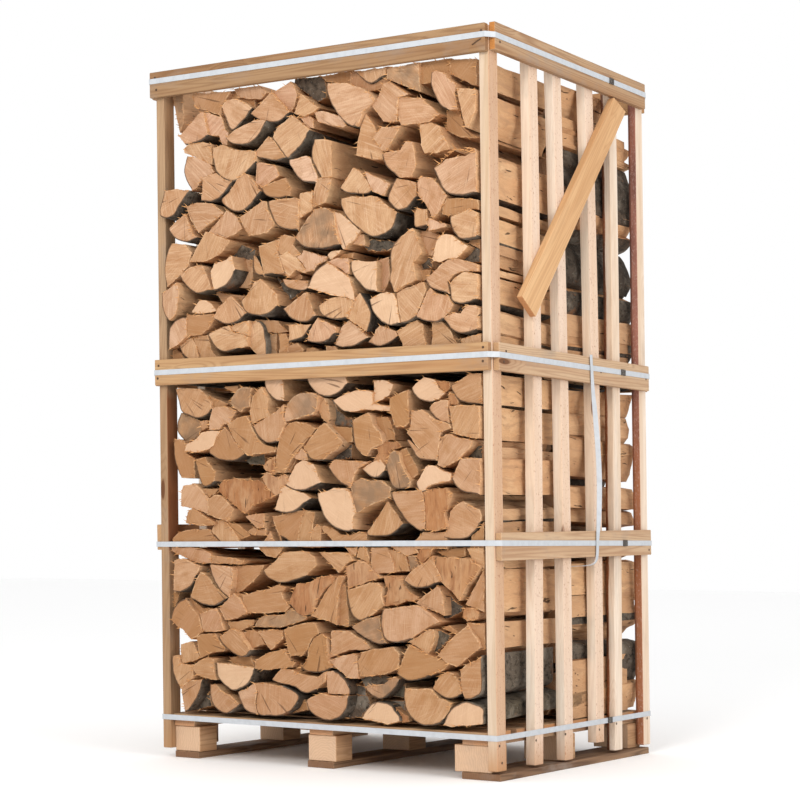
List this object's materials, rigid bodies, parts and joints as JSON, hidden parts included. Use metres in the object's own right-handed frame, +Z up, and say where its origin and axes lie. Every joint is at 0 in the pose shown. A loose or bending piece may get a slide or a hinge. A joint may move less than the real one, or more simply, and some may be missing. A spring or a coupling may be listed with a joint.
{
  "type": "pallet of firewood",
  "caption": "Block pallet with an open-fronted slatted timber crate, filled with split half-metre firewood logs laid front to back and held by plastic straps.",
  "frame": {"origin": "on the floor, under the middle runner and midway between the front and back posts", "axes": "+Z up, +X from left to right along the open front, +Y from the front to the back"},
  "size_m": [1.2819, 1.0464, 2.1355],
  "materials": {
    "cream_pine": "sawn pale pine, dry",
    "tan_pine": "sawn pine, sun tanned",
    "waney_pine": "sawn pine with a bark edge left on",
    "block_pine": "sawn pine, end grain to the front",
    "weathered_pine": "rough sawn, dusty and worn",
    "split_beech": "split and sawn hardwood with grey bark",
    "white_strap": "embossed polypropylene strap",
    "seal_steel": "dark galvanised crimped seal"
  },
  "bodies": {
    "root": {"runner_left": "weathered_pine", "runner_middle": "weathered_pine", "runner_right": "weathered_pine", "block_left_front": "block_pine", "block_left_middle": "block_pine", "block_left_back": "block_pine", "block_middle_front": "block_pine", "block_middle_middle": "block_pine", "block_middle_back": "block_pine", "block_right_front": "block_pine", "block_right_middle": "block_pine", "block_right_back": "block_pine", "stringer_left": "weathered_pine", "stringer_middle": "weathered_pine", "stringer_right": "weathered_pine", "deck_board_1": "block_pine", "deck_board_2": "block_pine", "deck_board_3": "block_pine", "deck_board_4": "block_pine", "deck_board_5": "block_pine", "deck_board_6": "block_pine", "post_front_left": "cream_pine", "post_front_right": "cream_pine", "post_back_left": "cream_pine", "post_back_right": "waney_pine", "slat_right_1": "cream_pine", "slat_left_1": "cream_pine", "slat_right_2": "cream_pine", "slat_left_2": "cream_pine", "slat_right_3": "cream_pine", "slat_left_3": "cream_pine", "slat_right_4": "waney_pine", "slat_left_4": "cream_pine", "rail_front_top": "tan_pine", "rail_back_top": "tan_pine", "rail_front_middle": "tan_pine", "rail_back_middle": "tan_pine", "rail_right_top": "tan_pine", "rail_left_top": "tan_pine", "rail_right_middle": "tan_pine", "rail_left_middle": "tan_pine", "rail_right_lower": "tan_pine", "rail_left_lower": "tan_pine", "brace_right": "tan_pine", "strap_top": "white_strap", "seal_top": "seal_steel", "strap_middle": "white_strap", "seal_middle": "seal_steel", "strap_lower": "white_strap", "seal_lower": "seal_steel", "strap_bottom": "white_strap", "seal_bottom": "seal_steel", "strap_tail": "white_strap", "firewood_front": "split_beech", "firewood_back": "split_beech"}
  },
  "joints": []
}
